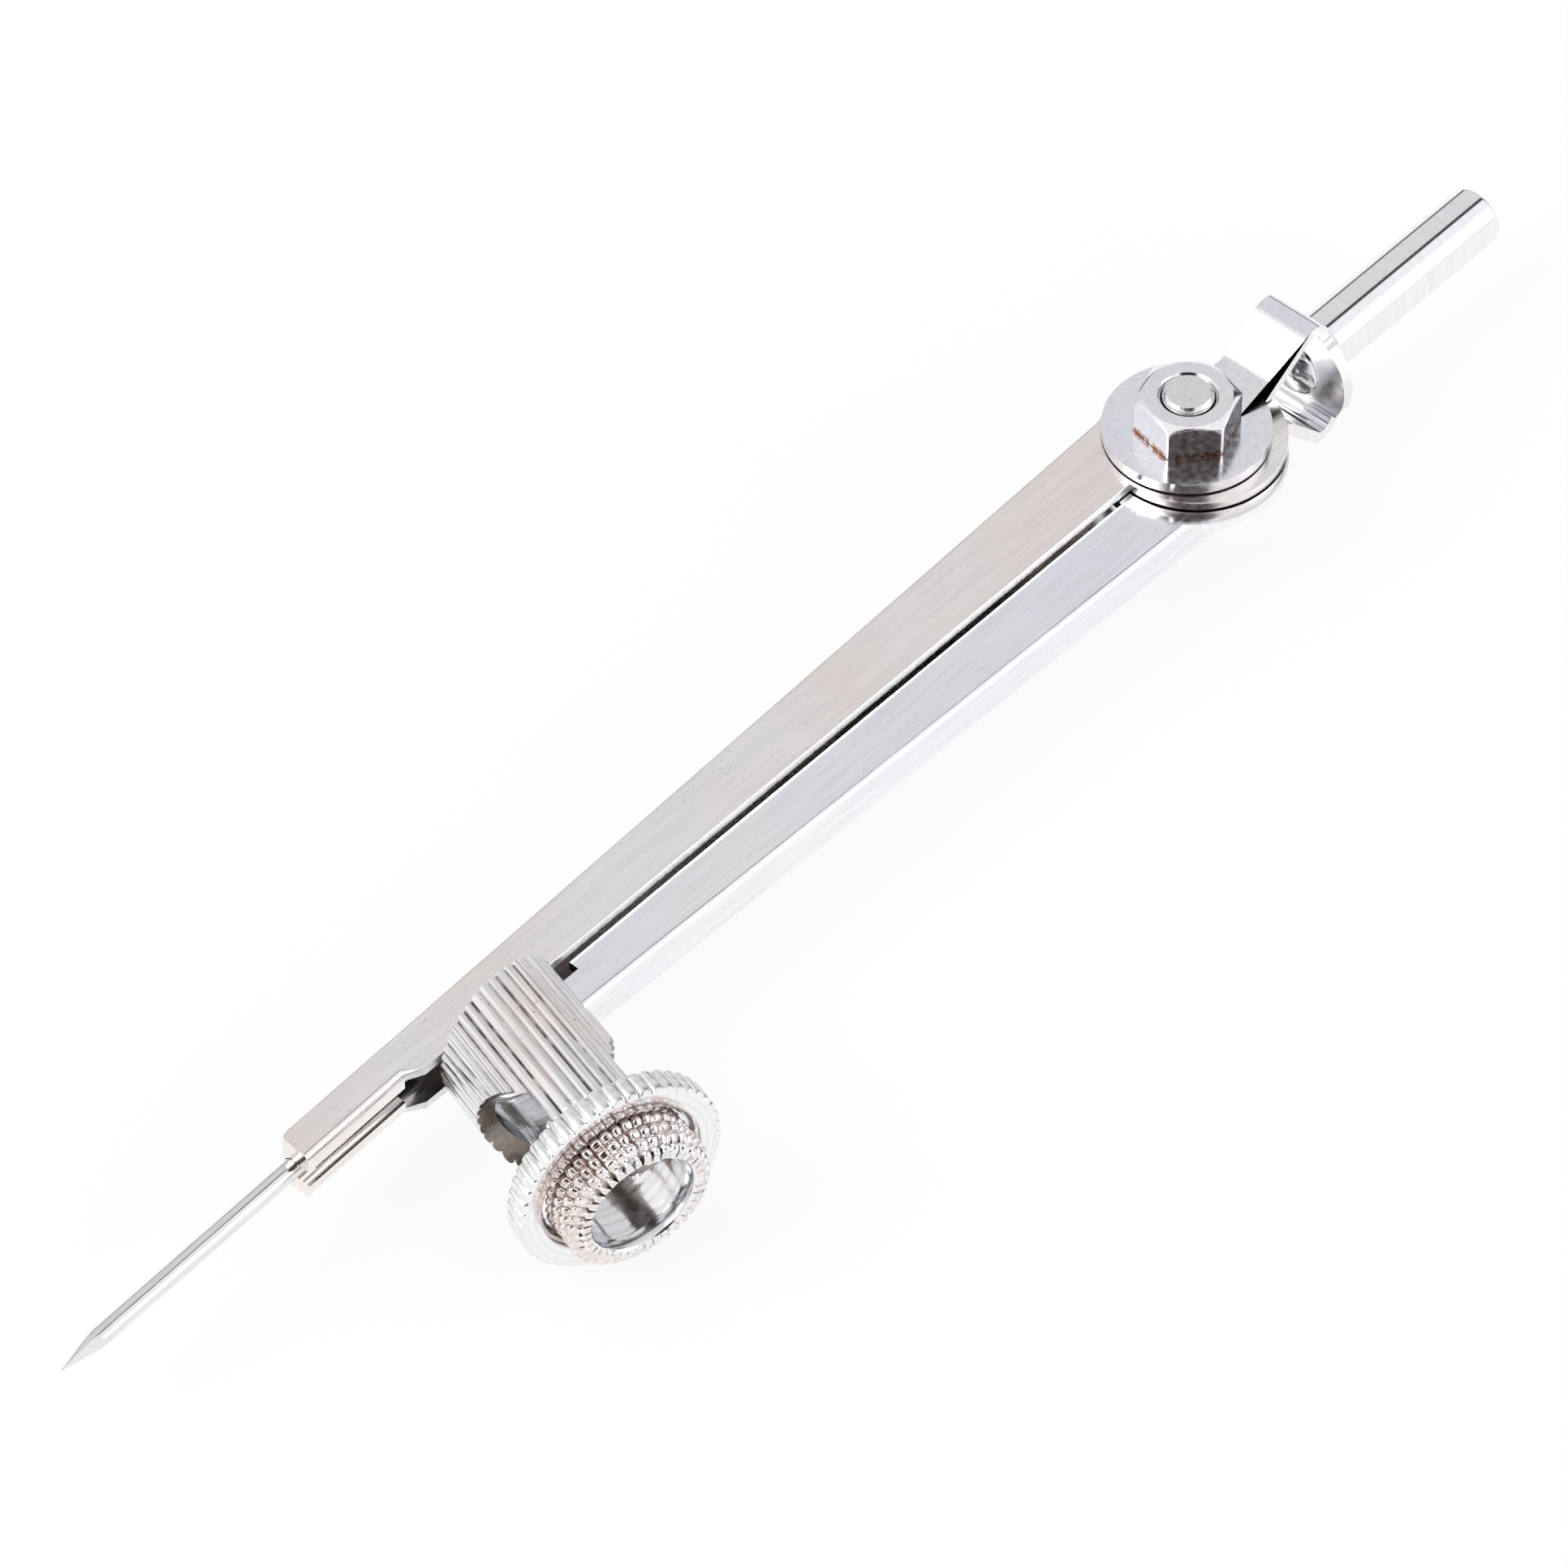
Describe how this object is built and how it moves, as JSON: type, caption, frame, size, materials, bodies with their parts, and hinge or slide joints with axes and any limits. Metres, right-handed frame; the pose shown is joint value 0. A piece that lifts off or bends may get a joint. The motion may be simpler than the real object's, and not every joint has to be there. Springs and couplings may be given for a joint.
{
  "type": "drawing compass",
  "caption": "All-metal drawing compass: folded sheet legs on a bolted pivot, steel point, screw clamp for a pencil and a round handle.",
  "frame": {"origin": "centre of the bolt head's flat underside, on the pivot axis", "axes": "+X along the handle, away from the legs; +Y on the needle leg's side; +Z along the pivot bolt, towards its nut"},
  "size_m": [0.149, 0.0269, 0.0161],
  "materials": {
    "nickel_sheet": "nickel plated sheet, bright",
    "nickel_turned": "nickel plated, turned and bright",
    "bright_steel": "bright steel with light turning marks"
  },
  "bodies": {
    "yoke_and_pivot": {"yoke": "nickel_sheet", "handle_rod": "nickel_turned", "pivot_bolt": "bright_steel", "pivot_nut": "bright_steel"},
    "needle_arm": {"needle_leg": "nickel_sheet", "needle": "bright_steel"},
    "pencil_arm": {"pencil_leg": "nickel_sheet", "clamp_barrel": "nickel_turned"},
    "clamp_follower": {"clamp_pressure_washer": "bright_steel"},
    "clamp_nut": {"clamp_ring_nut": "nickel_turned"}
  },
  "joints": [
    {"name": "needle_arm_hinge", "type": "hinge", "parent": "yoke_and_pivot", "child": "needle_arm", "pos_m": [0, 0, 0.005], "axis": [0, 0, -1], "range_deg": [0, 70]},
    {"name": "pencil_arm_hinge", "type": "hinge", "parent": "yoke_and_pivot", "child": "pencil_arm", "pos_m": [0, 0, 0.005], "axis": [0, 0, 1], "range_deg": [0, 70]},
    {"name": "clamp_slide", "type": "slide", "parent": "pencil_arm", "child": "clamp_follower", "axis": [0.2672, 0.9636, 0], "range_m": [-0.002, 0.005]},
    {"name": "clamp_turn", "type": "hinge", "parent": "clamp_follower", "child": "clamp_nut", "pos_m": [-0.07829, -0.01526, 0.00435], "axis": [0.2672, 0.9636, 0], "range_deg": [-720, 1800]}
  ],
  "couplings": [
    {"joint": "clamp_turn", "follows": "clamp_slide", "rad_per_m": 6283.2}
  ]
}
